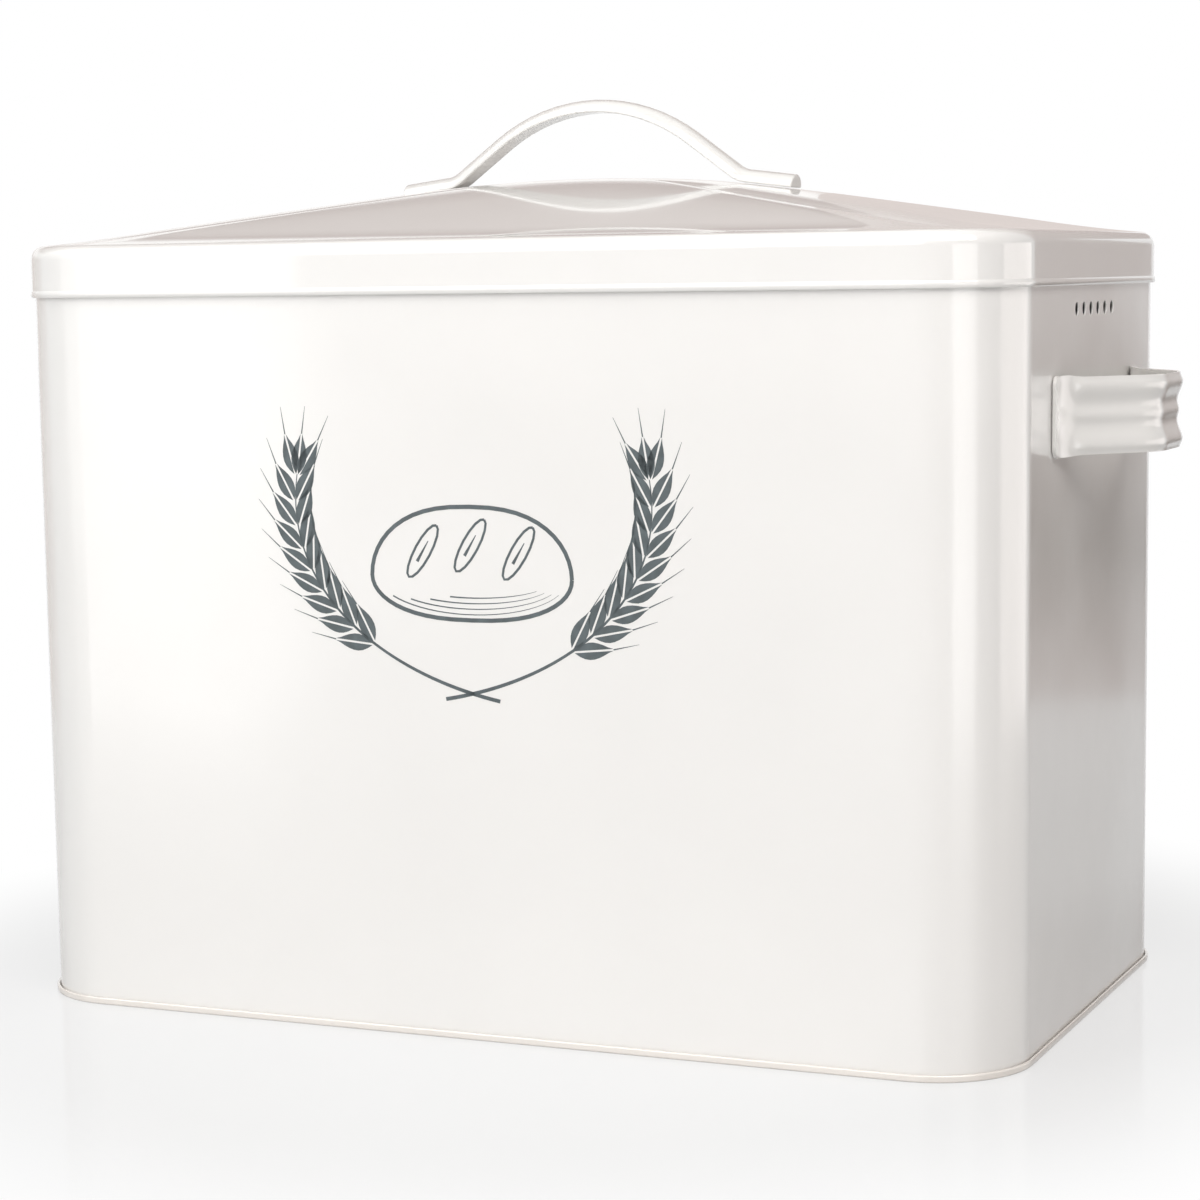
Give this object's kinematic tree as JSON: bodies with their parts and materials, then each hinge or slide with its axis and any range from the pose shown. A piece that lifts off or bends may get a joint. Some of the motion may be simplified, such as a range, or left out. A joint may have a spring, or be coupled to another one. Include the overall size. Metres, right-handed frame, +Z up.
{
  "type": "bread box",
  "caption": "Oblong enamelled sheet-metal bread box with rounded corners, vented ends, a lift-off domed lid with an arched handle, and a ribbed carrying handle at each end.",
  "frame": {"origin": "on the floor under the middle of the box", "axes": "+X along the box's length to its right end, -Y to its front, +Z up"},
  "size_m": [0.3776, 0.203, 0.2863],
  "materials": {
    "wall_enamel": "gloss",
    "base_enamel": "gloss",
    "lid_enamel": "gloss",
    "handle_enamel": "gloss",
    "front_print": "satin"
  },
  "bodies": {
    "box": {"body_wall": "wall_enamel", "base_pan": "base_enamel", "side_handle_right": "handle_enamel", "side_handle_left": "handle_enamel"},
    "lid": {"lid_pan": "lid_enamel", "lid_handle": "handle_enamel"}
  },
  "joints": [
    {"name": "lid_lift", "type": "slide", "parent": "box", "child": "lid", "axis": [0, 0, 1], "range_m": [0, 0.15]}
  ]
}
